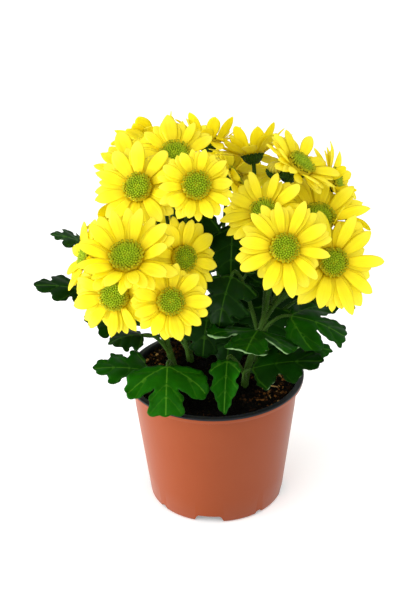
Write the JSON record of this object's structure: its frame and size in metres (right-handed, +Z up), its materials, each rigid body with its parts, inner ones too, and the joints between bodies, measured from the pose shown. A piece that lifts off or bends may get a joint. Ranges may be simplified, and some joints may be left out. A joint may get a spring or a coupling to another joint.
{
  "type": "pot chrysanthemum",
  "caption": "Potted chrysanthemum with yellow daisy blooms on leafy stems, standing in soil in a tapered terracotta plastic pot.",
  "frame": {"origin": "centre of the flat pad on the pot's underside, level with its foot ring", "axes": "+Z up along the pot's axis, -Y towards the side that the picture shows, +X to that side's right"},
  "size_m": [0.2238, 0.1732, 0.2615],
  "materials": {
    "pot_plastic": "satin terracotta outside, near-black lip and inside",
    "peat": "rough, damp peat",
    "foliage": "satin green leaf and stem",
    "ray_yellow": "soft lemon yellow petal",
    "disc_green": "matte green florets",
    "bud_yellow_green": "satin yellow-green petal tips"
  },
  "bodies": {
    "root": {"pot": "pot_plastic", "soil": "peat", "stem_front_left": "foliage", "stem_left": "foliage", "stem_front_right": "foliage", "stem_right": "foliage", "stem_back": "foliage", "rays_a": "ray_yellow", "rays_b": "ray_yellow", "rays_c": "ray_yellow", "rays_d": "ray_yellow", "rays_e": "ray_yellow", "rays_f": "ray_yellow", "rays_g": "ray_yellow", "rays_h": "ray_yellow", "rays_i": "ray_yellow", "rays_j": "ray_yellow", "rays_k": "ray_yellow", "rays_l": "ray_yellow", "rays_m": "ray_yellow", "rays_n": "ray_yellow", "rays_o": "ray_yellow", "rays_p": "ray_yellow", "rays_q": "ray_yellow", "rays_r": "ray_yellow", "rays_s": "ray_yellow", "rays_t": "ray_yellow", "rays_u": "ray_yellow", "rays_v": "ray_yellow", "rays_w": "ray_yellow", "rays_x": "ray_yellow", "disc_a": "disc_green", "disc_b": "disc_green", "disc_c": "disc_green", "disc_d": "disc_green", "disc_e": "disc_green", "disc_f": "disc_green", "disc_g": "disc_green", "disc_h": "disc_green", "disc_i": "disc_green", "disc_j": "disc_green", "disc_k": "disc_green", "disc_l": "disc_green", "disc_m": "disc_green", "disc_n": "disc_green", "disc_o": "disc_green", "disc_p": "disc_green", "disc_q": "disc_green", "disc_r": "disc_green", "disc_s": "disc_green", "disc_t": "disc_green", "disc_u": "disc_green", "disc_v": "disc_green", "disc_w": "disc_green", "disc_x": "disc_green", "bud_front": "bud_yellow_green", "bud_back": "bud_yellow_green"}
  },
  "joints": []
}
